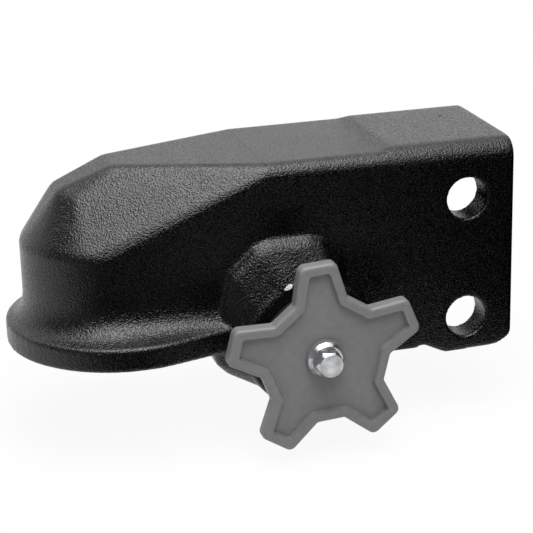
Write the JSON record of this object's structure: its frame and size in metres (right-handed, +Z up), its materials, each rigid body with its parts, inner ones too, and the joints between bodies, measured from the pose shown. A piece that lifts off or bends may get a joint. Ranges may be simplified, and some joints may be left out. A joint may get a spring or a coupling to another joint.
{
  "type": "trailer coupling head",
  "caption": "Cast trailer coupling head with a ball socket, a spring latch turned by a five-armed knob, and a channel mount with two cross bolt holes.",
  "frame": {"origin": "centre of the seated hitch ball", "axes": "+X runs from the ball to the rear, +Y across the head away from the knob, +Z up"},
  "size_m": [0.2574, 0.1443, 0.1368],
  "materials": {
    "black_paint": "semi-gloss black paint on a sand-cast surface",
    "bronze": "machined bearing bronze",
    "shaft_steel": "ground steel",
    "jaw_steel": "cast steel, machined where it meets the ball",
    "spring_steel": "dark oiled spring steel",
    "knob_plastic": "matte moulded grey plastic",
    "zinc_steel": "bright zinc plate"
  },
  "bodies": {
    "head": {"coupler_casting": "black_paint", "near_bushing": "bronze", "far_bushing": "bronze", "far_washer": "zinc_steel", "latch_spring": "spring_steel"},
    "latch": {"latch_shaft": "shaft_steel", "latch_jaw": "jaw_steel", "jaw_pin": "shaft_steel", "star_knob": "knob_plastic", "knob_insert": "zinc_steel", "knob_bolt": "zinc_steel", "retaining_ring": "spring_steel"}
  },
  "joints": [
    {"name": "latch_turn", "type": "hinge", "parent": "head", "child": "latch", "pos_m": [0.0856, 0, -0.013], "axis": [0, 1, 0], "range_deg": [0, 34], "stiffness_Nm_per_rad": 1.5, "springref_deg": -68.75, "deforming": ["latch_spring"]}
  ]
}
